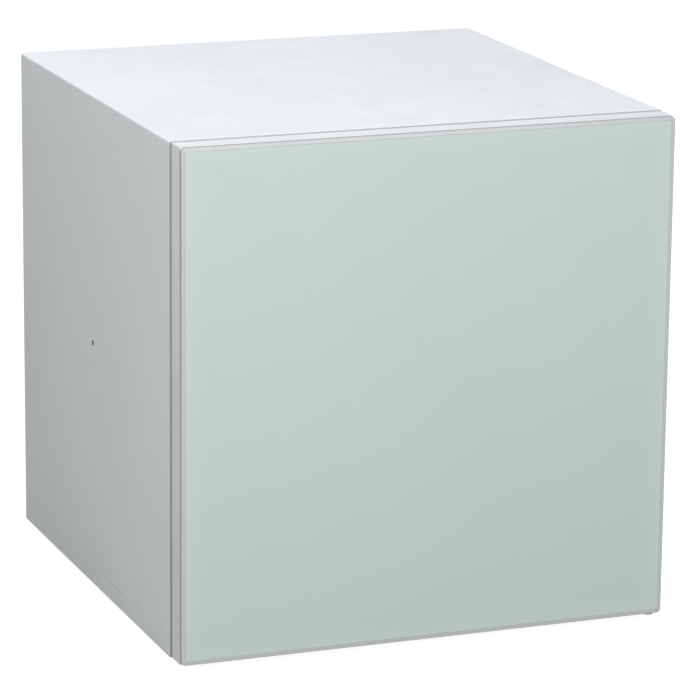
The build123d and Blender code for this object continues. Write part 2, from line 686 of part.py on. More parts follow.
def door_gasket():
    """The magnetic seal: a soft square ring on the door's back."""
    y = (DOOR_BACK + GASKET_CLEARANCE, FRONT - GASKET_CLEARANCE)
    inner_half = GASKET_HALF - GASKET_WIDTH
    seal = rounded((-GASKET_HALF, GASKET_HALF), y, (GASKET_LOW, GASKET_TOP), 6, Axis.Y)
    inner_z = (GASKET_LOW + GASKET_WIDTH, GASKET_TOP - GASKET_WIDTH)
    return seal - block((-inner_half, inner_half), (DOOR_BACK - 1, FRONT + 1), inner_z)


def door_rack(level):
    """A door rack: an open trough with a lower rear wall."""
    low, high = RACKS[level]
    y = (PLUG_BACK, RACK_BACK)
    rack = block((-RACK_HALF, RACK_HALF), y, (low, high))
    far_edges = rack.edges().filter_by(Axis.Z).group_by(Axis.Y)[-1]
    rack = fillet(far_edges, 12)
    wall = 2.2
    inner_half = RACK_HALF - wall
    space = block((-inner_half, inner_half), (PLUG_BACK + wall, RACK_BACK - wall), (low + 2.5, high + 1))
    rack -= fillet(space.edges().filter_by(Axis.Z).group_by(Axis.Y)[-1], 10)
    window = block((-RACK_HALF + 30, RACK_HALF - 30), (PLUG_BACK - 1, PLUG_BACK + 5), (low + 20, high + 1))
    return rack - window


# ------------------------------------------------------------------ hinges
def hinge_upper_plate():
    """The upper hinge: a strip on the casing's front flange with a tongue reaching into the door."""
    half = 4.5
    strip = block((195, 247), (FRONT - STRIP_THICKNESS, FRONT), (TONGUE_LOW, STRIP_TOP))
    tongue = block((PIVOT_X - half, PIVOT_X + half), (PIVOT_Y, FRONT), (TONGUE_LOW, TONGUE_TOP))
    tip = rod(half, (PIVOT_X, PIVOT_Y, TONGUE_LOW), (PIVOT_X, PIVOT_Y, TONGUE_TOP))
    plate = strip + tongue + tip
    for x, z in upper_screw_places():
        plate -= rod(1.6, (x, FRONT - 3, z), (x, FRONT + 1, z))
    return plate - rod(UPPER_PIN_RADIUS, (PIVOT_X, PIVOT_Y, UPPER_PIN_LOW), (PIVOT_X, PIVOT_Y, TOP))


def hinge_upper_screws():
    """Two flat-headed screws that hold the upper hinge strip."""
    screws = []
    for x, z in upper_screw_places():
        seat = FRONT - STRIP_THICKNESS
        head = rod(3, (x, seat - 0.8, z), (x, seat, z))
        screws.append(head + rod(1.5, (x, seat, z), (x, FRONT + 14, z)))
    return Compound(children=screws)


def hinge_upper_pin():
    """The upper pin, riveted in the tongue and pointing down into the door."""
    return rod(UPPER_PIN_RADIUS, (PIVOT_X, PIVOT_Y, UPPER_PIN_LOW), (PIVOT_X, PIVOT_Y, TONGUE_TOP))


def hinge_lower_plate():
    """The lower hinge: a flat plate under the base tray that reaches forward under the door."""
    plate = block((PIVOT_X - 19, PIVOT_X + 6), (PIVOT_Y, -190), (BOTTOM - LOWER_PLATE, BOTTOM))
    nose = rod(6, (PIVOT_X, PIVOT_Y, BOTTOM - LOWER_PLATE), (PIVOT_X, PIVOT_Y, BOTTOM))
    plate = plate + nose
    for x, y in lower_screw_places():
        plate -= rod(2.1, (x, y, 0), (x, y, 20))
    return plate - rod(LOWER_PIN_RADIUS, (PIVOT_X, PIVOT_Y, 0), (PIVOT_X, PIVOT_Y, 20))


def hinge_lower_screws():
    """Two screws that hold the lower hinge plate to the base tray."""
    seat = BOTTOM - LOWER_PLATE
    screws = []
    for x, y in lower_screw_places():
        head = rod(4, (x, y, seat - 2.5), (x, y, seat))
        screws.append(head + rod(2, (x, y, seat), (x, y, 18)))
    return Compound(children=screws)


def hinge_lower_pin():
    """The lower pin, riveted in the plate and pointing up into the door."""
    return rod(LOWER_PIN_RADIUS, (PIVOT_X, PIVOT_Y, BOTTOM - LOWER_PLATE), (PIVOT_X, PIVOT_Y, LOWER_PIN_TOP))


def hinge_washer():
    """The washer that the door's lower corner turns on."""
    inner = LOWER_PIN_RADIUS + RUNNING_CLEARANCE
    return ring(6, inner, (PIVOT_X, PIVOT_Y, BOTTOM), (PIVOT_X, PIVOT_Y, BOTTOM + 0.9))


def hinge_bush_upper():
    """The plastic bush for the upper pin."""
    inner = UPPER_PIN_RADIUS + RUNNING_CLEARANCE
    return ring(BUSH_RADIUS, inner, (PIVOT_X, PIVOT_Y, UPPER_BUSH_LOW), (PIVOT_X, PIVOT_Y, SLOT_LOW))


def hinge_bush_lower():
    """The plastic bush for the lower pin, closed at its top."""
    bush = rod(BUSH_RADIUS, (PIVOT_X, PIVOT_Y, DOOR_LOW), (PIVOT_X, PIVOT_Y, LOWER_BUSH_TOP))
    inner = LOWER_PIN_RADIUS + RUNNING_CLEARANCE
    return bush - rod(inner, (PIVOT_X, PIVOT_Y, 0), (PIVOT_X, PIVOT_Y, LOWER_PIN_TOP + 0.5))


# ------------------------------------------------------------------ feet
def front_foot(side):
    """A levelling foot: a ribbed pad on a threaded stud."""
    x = side * FOOT_X
    pad = rod(FOOT_RADIUS, (x, FRONT_FOOT_Y, 0), (x, FRONT_FOOT_Y, BOTTOM))
    pad = chamfer(pad.edges().group_by(Axis.Z)[0], 1.5)
    return pad + rod(STUD_RADIUS, (x, FRONT_FOOT_Y, BOTTOM), (x, FRONT_FOOT_Y, STUD_TOP))


def foot_nuts():
    """The two threaded nuts on the base tray that the levelling feet screw into."""
    nuts = []
    for x in (-FOOT_X, FOOT_X):
        start = (x, FRONT_FOOT_Y, BAY_FLOOR)
        nuts.append(ring(8, STUD_RADIUS + RUNNING_CLEARANCE, start, (x, FRONT_FOOT_Y, BAY_FLOOR + 9)))
    return Compound(children=nuts)


def rear_feet():
    """The two fixed rubber feet at the rear, pushed into the base tray."""
    feet = []
    for x in (-FOOT_X, FOOT_X):
        pad = rod(FOOT_RADIUS, (x, REAR_FOOT_Y, 0), (x, REAR_FOOT_Y, BOTTOM))
        pad = chamfer(pad.edges().group_by(Axis.Z)[0], 1.5)
        stem = rod(3, (x, REAR_FOOT_Y, BOTTOM), (x, REAR_FOOT_Y, BAY_FLOOR))
        barb = rod(4.5, (x, REAR_FOOT_Y, BAY_FLOOR), (x, REAR_FOOT_Y, BAY_FLOOR + 4))
        feet.append(joined([pad, stem, barb]))
    return Compound(children=feet)


# ------------------------------------------------------------------ compressor and its mounting


def mount_places():
    """The compressor's four mounting points."""
    return [(COMPRESSOR_X + dx, COMPRESSOR_Y + dy) for dx in (-75, 75) for dy in (-45, 45)]


def compressor_rail():
    """The reinforcing plate on the base tray under the compressor."""
    x = (COMPRESSOR_X - 95, COMPRESSOR_X + 95)
    rail = block(x, (COMPRESSOR_Y - 62, COMPRESSOR_Y + 62), (BAY_FLOOR, RAIL_TOP))
    for x, y in mount_places():
        rail -= rod(3, (x, y, 0), (x, y, 30))
    return rail


def compressor_can(inset):
    """The compressor's oval can moved inwards by a distance."""
    x = (COMPRESSOR_X - CAN_HALF_WIDTH + inset, COMPRESSOR_X + CAN_HALF_WIDTH - inset)
    y = (COMPRESSOR_Y - CAN_HALF_DEPTH + inset, COMPRESSOR_Y + CAN_HALF_DEPTH - inset)
    can = rounded(x, y, (PLATE_TOP - 1 + inset, CAN_TOP - inset), CAN_HALF_DEPTH - 4 - inset, Axis.Z)
    return fillet(can.edges().group_by(Axis.Z)[-1], 30 - inset)


def compressor():
    """The hermetic compressor: two drawn shells with a welded seam, on its foot plate."""
    seam_size = (2 * CAN_HALF_WIDTH + 2 * SEAM_REACH, 2 * CAN_HALF_DEPTH + 2 * SEAM_REACH)
    seam = extrude(RectangleRounded(*seam_size, CAN_HALF_DEPTH - 2), amount=4)
    x = (COMPRESSOR_X - 88, COMPRESSOR_X + 88)
    y = (COMPRESSOR_Y - CAN_HALF_DEPTH, COMPRESSOR_Y + CAN_HALF_DEPTH)
    plate = rounded(x, y, (PLATE_LOW, PLATE_TOP), 12, Axis.Z)
    whole = compressor_can(0) + Pos(COMPRESSOR_X, COMPRESSOR_Y, 84) * seam + plate - compressor_can(3)
    for x, y in mount_places():
        whole -= rod(6.2, (x, y, 0), (x, y, PLATE_TOP))
    return whole


def compressor_motor():
    """The motor and pump sealed inside the compressor."""
    motor = rod(44, (COMPRESSOR_X, COMPRESSOR_Y, 36), (COMPRESSOR_X, COMPRESSOR_Y, 92))
    return motor + rod(26, (COMPRESSOR_X, COMPRESSOR_Y, 92), (COMPRESSOR_X, COMPRESSOR_Y, 126))


def compressor_grommets():
    """Four rubber mounts between the rail and the compressor's foot plate."""
    grommets = []
    for x, y in mount_places():
        foot = rod(9, (x, y, RAIL_TOP), (x, y, PLATE_LOW))
        neck = rod(6, (x, y, PLATE_LOW), (x, y, PLATE_TOP + 0.5))
        grommets.append(foot + neck - rod(3, (x, y, 0), (x, y, 60)))
    return Compound(children=grommets)


def compressor_bolts():
    """Four bolts with washers that hold the compressor down."""
    bolts = []
    for x, y in mount_places():
        shank = rod(3, (x, y, BAY_FLOOR), (x, y, PLATE_TOP + 1))
        washer = rod(8, (x, y, PLATE_TOP + 0.5), (x, y, PLATE_TOP + 1.5))
        head = Pos(x, y, PLATE_TOP + 1.5) * extrude(RegularPolygon(5.5, 6), amount=4)
        bolts.append(joined([shank, washer, head]))
    return Compound(children=bolts)


def terminal_box():
    """The cover over the compressor's starting relay and terminals."""
    box = block((BOX_LEFT, BOX_RIGHT), (COMPRESSOR_Y - 26, COMPRESSOR_Y + 26), (56, 122))
    return fillet(box.edges().filter_by(Axis.Y), 4)


# ------------------------------------------------------------------ pipes and condenser


def suction_pipe():
    """The return pipe: out of the ice box's back, down inside the insulation, to the compressor."""
    return pipe(
        3,
        SUCTION_BEND,
        (SUCTION_X, ICE_BACK, SUCTION_Z),
        (SUCTION_X, SUCTION_Y, SUCTION_Z),
        (SUCTION_X, SUCTION_Y, 168),
        (COMPRESSOR_X, SUCTION_Y, 168),
        (COMPRESSOR_X, COMPRESSOR_Y, 168),
        (COMPRESSOR_X, COMPRESSOR_Y, CAN_TOP),
    )


def suction_hole(radius):
    """The passage of the return pipe through liner, insulation and compartment ceiling."""
    return pipe(
        radius,
        SUCTION_BEND,
        (SUCTION_X, ICE_BACK + 1, SUCTION_Z),
        (SUCTION_X, SUCTION_Y, SUCTION_Z),
        (SUCTION_X, SUCTION_Y, BAY_TOP - 2),
    )


def discharge_pipe():
    """The hot pipe from the compressor's left side to the condenser's riser."""
    return pipe(
        TUBE_RADIUS,
        18,
        (COMPRESSOR_X - CAN_HALF_WIDTH, COMPRESSOR_Y, 66),
        (COMPRESSOR_X - 120, COMPRESSOR_Y, 66),
        (COMPRESSOR_X - 120, GRID_Y, 66),
        (RISER_X, GRID_Y, 66),
        (RISER_X, GRID_Y, 140),
    )


def condenser_tube():
    """The condenser: one tube that rises at the left and winds down the back in level runs."""
    corners = [(RISER_X, GRID_Y, 140)]
    for run in range(GRID_RUNS):
        z = GRID_TOP - run * GRID_PITCH
        start, end = (-GRID_HALF, GRID_HALF) if run % 2 == 0 else (GRID_HALF, -GRID_HALF)
        corners += [(RISER_X if run == 0 else start, GRID_Y, z), (end, GRID_Y, z)]
    corners.append((DRIER_X, GRID_Y, 150))
    return pipe(TUBE_RADIUS, GRID_PITCH / 2 - 0.2, *corners)


def condenser_wires():
    """The upright wires on both faces of the condenser."""
    count = 2 * WIRE_HALF // WIRE_PITCH + 1
    offset = TUBE_RADIUS + WIRE_RADIUS + 0.1
    wires = []
    for column in range(count):
        x = -WIRE_HALF + column * WIRE_PITCH
        for y in (GRID_Y - offset, GRID_Y + offset):
            wires.append(rod(WIRE_RADIUS, (x, y, GRID_LOW - 8), (x, y, GRID_TOP + 8)))
    return Compound(children=wires)


def condenser_clips():
    """Four plastic clips that hold the condenser off the back panel."""
    clips = []
    for x, z, turn in condenser_clip_places():
        low, high = sorted((z - turn * 6, z + turn * (CLIP_REACH + 6)))
        clip = block((x - 5, x + 5), (PANEL_BACK, GRID_Y + 5), (low, high))
        clip -= rod(TUBE_RADIUS + 0.1, (x - 6, GRID_Y, z), (x + 6, GRID_Y, z))
        hole_z = z + turn * CLIP_REACH
        clips.append(clip - rod(1.7, (x, PANEL_FRONT, hole_z), (x, BACK, hole_z)))
    return Compound(children=clips)


def condenser_screws():
    """Four screws through the clips into the back panel."""
    screws = []
    for x, z, turn in condenser_clip_places():
        hole_z = z + turn * CLIP_REACH
        head = rod(3.2, (x, GRID_Y + 5, hole_z), (x, GRID_Y + 7.2, hole_z))
        screws.append(head + rod(1.6, (x, PANEL_FRONT - 6, hole_z), (x, GRID_Y + 5, hole_z)))
    return Compound(children=screws)


def filter_drier():
    """The copper filter and drier below the condenser's outlet, necked at both ends."""
    body = rod(9, (DRIER_X, GRID_Y, DRIER_LOW), (DRIER_X, GRID_Y, DRIER_TOP))
    body = fillet(body.edges(), 6)
    necks = rod(3, (DRIER_X, GRID_Y, DRIER_LOW - 8), (DRIER_X, GRID_Y, 150))
    return body + necks


def capillary_tube():
    """The thin tube from the drier back up towards the return pipe."""
    return pipe(
        1.2,
        11,
        (DRIER_X, GRID_Y, DRIER_LOW - 8),
        (DRIER_X, GRID_Y, 40),
        (DRIER_X, 200, 40),
        (DRIER_X, 200, 172),
        (30, 200, 172),
        (30, 200, BAY_TOP),
    )


def cord_gland():
    """The bushing in the tray's rear wall where the mains cord comes in."""
    wall = BACK - 8.5
    flange = rod(8, (GLAND_X, wall + 1, GLAND_Z), (GLAND_X, wall + 5, GLAND_Z))
    neck = rod(6, (GLAND_X, wall - 5, GLAND_Z), (GLAND_X, wall + 1, GLAND_Z))
    return flange + neck - rod(3.5, (GLAND_X, wall, GLAND_Z), (GLAND_X, wall + 6, GLAND_Z))


def mains_lead():
    """The lead inside the compartment, from the cord's bushing to the terminal box."""
    return pipe(
        3,
        18,
        (GLAND_X, BACK - 13.5, GLAND_Z),
        (GLAND_X, 202, GLAND_Z),
        (GLAND_X - 22, COMPRESSOR_Y, 58),
        (BOX_RIGHT + 34, COMPRESSOR_Y, 88),
        (BOX_RIGHT, COMPRESSOR_Y, 88),
    )


# ------------------------------------------------------------------ all pieces
PIECES = {
    "top_panel": top_panel,
    "side_panels": side_panels,
    "side_inserts": side_inserts,
    "base_tray": base_tray,
    "front_rail": front_rail,
    "back_panel": back_panel,
    "compartment_wall": compartment_wall,
    "inner_liner": inner_liner,
    "insulation_foam": insulation_foam,
    "ice_box": ice_box,
    "ice_box_frame": ice_box_frame,
    "ice_box_spacers": ice_box_spacers,
    "ice_box_screws": ice_box_screws,
    "ice_flap": ice_flap,
    "tray_runners": tray_runners,
    "drip_tray": drip_tray,
    "shelf_upper_glass": lambda: shelf_glass("upper"),
    "shelf_upper_trim": lambda: shelf_trim("upper"),
    "shelf_lower_glass": lambda: shelf_glass("lower"),
    "shelf_lower_trim": lambda: shelf_trim("lower"),
    "thermostat_housing": thermostat_housing,
    "thermostat_switch": thermostat_switch,
    "thermostat_shaft": thermostat_shaft,
    "thermostat_dial": thermostat_dial,
    "door_glass": door_glass,
    "door_shell": door_shell,
    "door_foam": door_foam,
    "door_liner": door_liner,
    "door_gasket": door_gasket,
    "door_rack_upper": lambda: door_rack("upper"),
    "door_rack_lower": lambda: door_rack("lower"),
    "hinge_upper_plate": hinge_upper_plate,
    "hinge_upper_screws": hinge_upper_screws,
    "hinge_upper_pin": hinge_upper_pin,
    "hinge_lower_plate": hinge_lower_plate,
    "hinge_lower_screws": hinge_lower_screws,
    "hinge_lower_pin": hinge_lower_pin,
    "hinge_washer": hinge_washer,
    "hinge_bush_upper": hinge_bush_upper,
    "hinge_bush_lower": hinge_bush_lower,
    "front_foot_left": lambda: front_foot(-1),
    "front_foot_right": lambda: front_foot(1),
    "foot_nuts": foot_nuts,
    "rear_feet": rear_feet,
    "compressor_rail": compressor_rail,
    "compressor": compressor,
    "compressor_motor": compressor_motor,
    "compressor_grommets": compressor_grommets,
    "compressor_bolts": compressor_bolts,
    "terminal_box": terminal_box,
    "suction_pipe": suction_pipe,
    "discharge_pipe": discharge_pipe,
    "condenser_tube": condenser_tube,
    "condenser_wires": condenser_wires,
    "condenser_clips": condenser_clips,
    "condenser_screws": condenser_screws,
    "filter_drier": filter_drier,
    "capillary_tube": capillary_tube,
    "cord_gland": cord_gland,
    "mains_lead": mains_lead,
}

os.makedirs("parts", exist_ok=True)
for name, make in PIECES.items():
    export_step(make(), f"parts/{name}.step")
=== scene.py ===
import json
import math

import bmesh
import bpy
from mathutils import Matrix, Vector


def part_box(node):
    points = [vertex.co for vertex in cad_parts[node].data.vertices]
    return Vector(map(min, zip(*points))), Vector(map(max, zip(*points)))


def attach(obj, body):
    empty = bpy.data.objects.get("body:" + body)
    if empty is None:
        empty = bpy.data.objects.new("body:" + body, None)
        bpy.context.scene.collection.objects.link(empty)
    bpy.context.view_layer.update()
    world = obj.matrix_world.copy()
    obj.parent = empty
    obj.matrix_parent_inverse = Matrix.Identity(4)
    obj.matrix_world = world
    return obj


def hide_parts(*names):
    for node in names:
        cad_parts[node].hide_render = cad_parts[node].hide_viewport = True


MM = 0.001
SHARP_ANGLE = math.radians(40)

# Camera, from the fit to the cube's outline: lens and sensor in mm, angles in degrees, the rest in metres
LENS = 204.2
SENSOR = 36
AZIMUTH, ELEVATION, ROLL = -21.04, 14.38, 0.58
DISTANCE = 3.9957
SHIFT_RIGHT, SHIFT_UP = 0.01923, -0.02477
TARGET = (0, 0.0155, 0.26)

# Round pieces that replace CAD nodes
MOUNT_RADIUS = 9 * MM
FOOT_RADIUS = 15 * MM

# Levelling foot, in mm and outline steps
FOOT_STEPS = 96
PAD_HEIGHT = 10.0
THREAD_PITCH = 1.25
THREAD_ROOT, THREAD_CREST = 3.5, 4.0
FLUTE_DEPTH = 0.55
FLUTE_RADIUS, FLUTE_LOW, FLUTE_HIGH = 14.6, 2, 9

# Painted reflection and painted shade along the glass's bevelled edges, inward from the edge in mm
PAINTED_EDGE_ZONE = 40
PAINTED_EDGE_FADE = (4.4, 26)

# Painted shade in the shut line: a grey band on the cabinet's front flange behind the door, back from the
# cabinet's front in mm
SHUT_SHADE_SOLID, SHUT_SHADE_END = 1.0, 1.9

# Studio
FLOOR_HALF = 30
FLOOR_GLOW = 0.93
WORLD_LIGHT, WORLD_SEEN = 0.26, 1.0

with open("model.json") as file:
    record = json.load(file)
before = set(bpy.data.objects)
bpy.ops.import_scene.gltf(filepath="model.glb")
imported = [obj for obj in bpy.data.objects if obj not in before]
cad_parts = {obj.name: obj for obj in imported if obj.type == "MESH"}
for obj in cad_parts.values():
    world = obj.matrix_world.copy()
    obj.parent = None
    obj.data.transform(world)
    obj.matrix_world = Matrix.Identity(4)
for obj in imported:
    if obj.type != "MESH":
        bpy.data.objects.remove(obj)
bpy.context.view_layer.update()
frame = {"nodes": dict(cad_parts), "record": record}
NODES = frame["nodes"]


# ------------------------------------------------------------------ materials
def srgb(red, green, blue):
    """A linear colour from sRGB values of 0 to 255."""
    linear = []
    for value in (red / 255, green / 255, blue / 255):
        linear.append(value / 12.92 if value <= 0.04045 else ((value + 0.055) / 1.055) ** 2.4)
    return (*linear, 1.0)


class Finish:
    """A procedural material: one Principled shader and the texture nodes that feed it."""

    def __init__(self, name, **sockets):
        self.material = bpy.data.materials.new(name)
        self.material.use_nodes = True
        self.tree = self.material.node_tree
        self.shader = self.tree.nodes["Principled BSDF"]
        for socket, value in sockets.items():
            self.shader.inputs[socket.replace("_", " ")].default_value = value
        self.place = self.node("ShaderNodeTexCoord").outputs["Object"]
        self.normal = None

    def node(self, kind, settings=None, **inputs):
        """Adds a shader node; each input is a value, or a socket to link."""
        made = self.tree.nodes.new(kind)
        for name, value in (settings or {}).items():
            setattr(made, name, value)
        for name, value in inputs.items():
            socket = made.inputs[name.replace("_", " ")]
            if isinstance(value, bpy.types.NodeSocket):
                self.tree.links.new(value, socket)
            else:
                socket.default_value = value
        return made

    def math(self, operation, first, second=None):
        """Adds a maths node; each operand is a value, or a socket to link."""
        made = self.node("ShaderNodeMath", {"operation": operation})
        for socket, value in zip(made.inputs, (first, second)):
            if isinstance(value, bpy.types.NodeSocket):
                self.tree.links.new(value, socket)
            elif value is not None:
                socket.default_value = value
        return made.outputs[0]

    def noise(self, scale, detail=2.0, stretch=None):
        """Smooth noise, mostly between 0.3 and 0.7."""
        place = self.place
        if stretch:
            place = self.node("ShaderNodeMapping", Vector=place, Scale=stretch).outputs[0]
        return self.node("ShaderNodeTexNoise", Vector=place, Scale=scale, Detail=detail).outputs[0]

    def cells(self, scale):
        """Distance to the nearest of many scattered points."""
        return self.node("ShaderNodeTexVoronoi", Vector=self.place, Scale=scale).outputs[0]

    def remap(self, value, low, high, start=0.3, end=0.7):
        """Takes start to low and end to high, and stays between them."""
        settings = {"From_Min": start, "From_Max": end, "To_Min": low, "To_Max": high}
        return self.node("ShaderNodeMapRange", Value=value, **settings).outputs[0]

    def ramp(self, value, *stops):
        """A colour between stops of (position, colour)."""
        made = self.node("ShaderNodeValToRGB", Fac=value)
        elements = made.color_ramp.elements
        while len(elements) < len(stops):
            elements.new(0.5)
        for element, (position, colour) in zip(elements, stops):
            element.position = position
            element.color = colour
        return made.outputs[0]

    def paint(self, colour):
        """Links the colour to the shader."""
        self.tree.links.new(colour, self.shader.inputs["Base Color"])

    def rough(self, value, low, high):
        """Spreads the value over this range of roughness."""
        self.tree.links.new(self.remap(value, low, high), self.shader.inputs["Roughness"])

    def soften(self, radius):
        """Rounds the look of sharp edges by this radius."""
        self.normal = self.node("ShaderNodeBevel", {"samples": 4}, Radius=radius).outputs[0]
        self.tree.links.new(self.normal, self.shader.inputs["Normal"])

    def bump(self, height, depth):
        """Raises the surface by up to this depth in metres."""
        made = self.node("ShaderNodeBump", Height=height, Distance=depth)
        if self.normal:
            self.tree.links.new(self.normal, made.inputs["Normal"])
        self.normal = made.outputs[0]
        self.tree.links.new(self.normal, self.shader.inputs["Normal"])


def two_tones(finish, first, second, scale, detail=3.0):
    """Colour that drifts slowly between two close tones."""
    finish.paint(finish.ramp(finish.noise(scale, detail), (0.35, first), (0.65, second)))


def white_enamel():
    """Pre-painted steel sheet: satin white with a fine orange peel, and painted shade in grey on its
    front flange, in the shut line behind the door.
    """
    made = Finish("white_enamel", Specular_IOR_Level=0.35)
    white = made.ramp(made.noise(5, 3), (0.35, srgb(238, 241, 242)), (0.65, srgb(234, 237, 238)))
    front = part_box("side_panels")[0].y
    depth = made.node("ShaderNodeSeparateXYZ", Vector=made.place).outputs[1]
    from_front = made.math("ABSOLUTE", made.math("SUBTRACT", depth, front))
    shut_line_shade = made.remap(from_front, 1, 0, SHUT_SHADE_SOLID * MM, SHUT_SHADE_END * MM)
    # The grey is painted shade: it darkens the front flange where the gap behind the door lies in shadow.
    mix = made.node("ShaderNodeMixRGB", Fac=shut_line_shade, Color1=white, Color2=srgb(168, 171, 172))
    made.paint(mix.outputs[0])
    made.rough(made.noise(40), 0.36, 0.46)
    made.soften(0.4 * MM)
    made.bump(made.noise(420, 1), 0.018 * MM)
    made.bump(made.noise(2200, 2), 0.004 * MM)
    return made


def pale_green_glass():
    """Back-painted glass with ground, bevelled edges; the neutral grey band, darker line and slightly
    lighter rim along them are painted reflection and painted shade.
    """
    low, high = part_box("door_glass")
    made = Finish("pale_green_glass", Coat_Weight=0.6, Coat_Roughness=0.12, Coat_IOR=1.5)
    split = made.node("ShaderNodeSeparateXYZ", Vector=made.place).outputs
    across = made.math("ABSOLUTE", made.math("SUBTRACT", split[0], (low.x + high.x) / 2))
    upright = made.math("ABSOLUTE", made.math("SUBTRACT", split[2], (low.z + high.z) / 2))
    from_side = made.math("SUBTRACT", (high.x - low.x) / 2, across)
    from_end = made.math("SUBTRACT", (high.z - low.z) / 2, upright)
    inward = made.math("MINIMUM", from_side, from_end)
    reach = made.remap(inward, 0, 1, 0, PAINTED_EDGE_ZONE * MM)
    face = made.ramp(made.noise(3, 2), (0.35, srgb(187, 201, 197)), (0.65, srgb(185, 199, 195)))
    # Painted reflection and shade: a grey band for light reflected and bent at the bevel, a darker line
    # at 3.4 to 4 mm for shade at its inner edge, and a slightly lighter rim for light scattered near the
    # edges.
    painted_edge_band = made.ramp(
        reach,
        (0.0, srgb(184, 187, 186)),
        (3.0 / PAINTED_EDGE_ZONE, srgb(188, 191, 190)),
        (3.4 / PAINTED_EDGE_ZONE, srgb(176, 182, 180)),
        (4.0 / PAINTED_EDGE_ZONE, srgb(178, 186, 183)),
        (4.6 / PAINTED_EDGE_ZONE, srgb(190, 203, 199)),
        (1.0, srgb(186, 200, 196)),
    )
    inside = made.remap(inward, 0, 1, *(edge * MM for edge in PAINTED_EDGE_FADE))
    mix = made.node("ShaderNodeMixRGB", Fac=inside, Color1=painted_edge_band, Color2=face)
    made.paint(mix.outputs[0])
    made.rough(made.noise(30), 0.3, 0.38)
    made.soften(0.3 * MM)
    made.bump(made.noise(9, 1), 0.05 * MM)
    return made


def liner_white():
    """Vacuum-formed polystyrene: glossy, gently uneven, with a fine skin."""
    made = Finish("liner_white", Specular_IOR_Level=0.45)
    two_tones(made, srgb(240, 242, 242), srgb(235, 238, 237), 9)
    made.rough(made.noise(60), 0.28, 0.4)
    made.soften(0.5 * MM)
    made.bump(made.noise(16, 1), 0.25 * MM)
    made.bump(made.noise(900, 2), 0.006 * MM)
    return made


def trim_white():
    """Injection-moulded white plastic with a spark-eroded texture."""
    made = Finish("trim_white", Specular_IOR_Level=0.4)
    two_tones(made, srgb(232, 235, 235), srgb(227, 230, 230), 14)
    made.rough(made.noise(80), 0.42, 0.52)
    made.soften(0.35 * MM)
    made.bump(made.noise(1600, 3), 0.02 * MM)
    return made


def clear_glass():
    """Tempered shelf glass, with the green of its thickness."""
    made = Finish("clear_glass", Transmission_Weight=1.0, IOR=1.52, Roughness=0.02)
    two_tones(made, srgb(238, 250, 245), srgb(231, 247, 240), 8)
    made.bump(made.noise(7, 1), 0.03 * MM)
    return made


def clear_plastic():
    """Clear polystyrene with faint flow lines from moulding."""
    made = Finish("clear_plastic", Transmission_Weight=0.92, IOR=1.49)
    two_tones(made, srgb(236, 243, 246), srgb(228, 237, 242), 11)
    made.rough(made.noise(25), 0.05, 0.12)
    made.bump(made.noise(30, 2, (1, 1, 0.25)), 0.08 * MM)
    return made


def metal(name, light, dark, rough, grain, stretch=None, patches=20, depth=0.006):
    """Bare or plated metal with a drawn grain."""
    made = Finish(name, Metallic=1.0)
    two_tones(made, light, dark, patches, 4)
    made.rough(made.noise(grain, 3, stretch), *rough)
    made.soften(0.25 * MM)
    made.bump(made.noise(grain, 3, stretch), depth * MM)
    return made


def zinc_steel():
    """Hot-dip galvanised sheet with soft spangles."""
    made = Finish("zinc_steel", Metallic=0.9)
    spangle = made.cells(70)
    tones = made.ramp(spangle, (0.15, srgb(186, 190, 194)), (0.6, srgb(164, 168, 172)))
    made.paint(tones)
    made.rough(made.noise(120, 3), 0.38, 0.56)
    made.soften(0.3 * MM)
    made.bump(spangle, 0.02 * MM)
    return made


def black_enamel():
    """Stove-enamelled black steel with a slight orange peel."""
    made = Finish("black_enamel", Specular_IOR_Level=0.5)
    two_tones(made, srgb(34, 35, 37), srgb(26, 27, 29), 18)
    made.rough(made.noise(70), 0.32, 0.5)
    made.bump(made.noise(500, 2), 0.03 * MM)
    return made


def dull(name, light, dark, rough, grain, depth, patches=25):
    """A matt moulded or foamed surface."""
    made = Finish(name, Specular_IOR_Level=0.3)
    two_tones(made, light, dark, patches)
    made.rough(made.noise(grain / 8), *rough)
    made.soften(0.3 * MM)
    made.bump(made.noise(grain, 3), depth * MM)
    return made


def foam():
    """Cut polyurethane foam with its fine cells."""
    made = Finish("foam", Specular_IOR_Level=0.1, Roughness=0.95)
    cells = made.cells(700)
    made.paint(made.ramp(cells, (0.1, srgb(214, 190, 130)), (0.6, srgb(236, 219, 172))))
    made.bump(cells, 0.4 * MM)
    return made


FINISHES = {
    "white_enamel": white_enamel(),
    "zinc_steel": zinc_steel(),
    "bright_steel": metal("bright_steel", srgb(206, 207, 208), srgb(190, 191, 193), (0.16, 0.28), 900),
    "black_enamel": black_enamel(),
    "liner_white": liner_white(),
    "trim_white": trim_white(),
    "pale_green_glass": pale_green_glass(),
    "clear_glass": clear_glass(),
    "clear_plastic": clear_plastic(),
    "grey_rubber": dull("grey_rubber", srgb(150, 153, 155), srgb(142, 145, 147), (0.55, 0.68), 700, 0.02),
    "black_rubber": dull("black_rubber", srgb(32, 32, 33), srgb(24, 24, 25), (0.7, 0.85), 500, 0.04),
    "foam": foam(),
    "aluminium": metal(
        "aluminium", srgb(218, 220, 222), srgb(202, 205, 208), (0.3, 0.46), 260, (1, 0.06, 1), 12, 0.012
    ),
    "copper": metal("copper", srgb(206, 132, 96), srgb(162, 98, 72), (0.26, 0.46), 500, None, 45, 0.01),
    "black_plastic": dull("black_plastic", srgb(38, 39, 41), srgb(31, 32, 34), (0.48, 0.6), 1300, 0.02),
    "acetal": dull("acetal", srgb(238, 238, 232), srgb(230, 230, 224), (0.3, 0.4), 900, 0.008),
}


# Each CAD node gets the finish of its material slot in the record
SLOTS = {part["node"]: part["material_slot"] for part in frame["record"]["subparts"]}
for name, node in NODES.items():
    for holder in node.material_slots:
        holder.material = FINISHES[SLOTS[name]].material


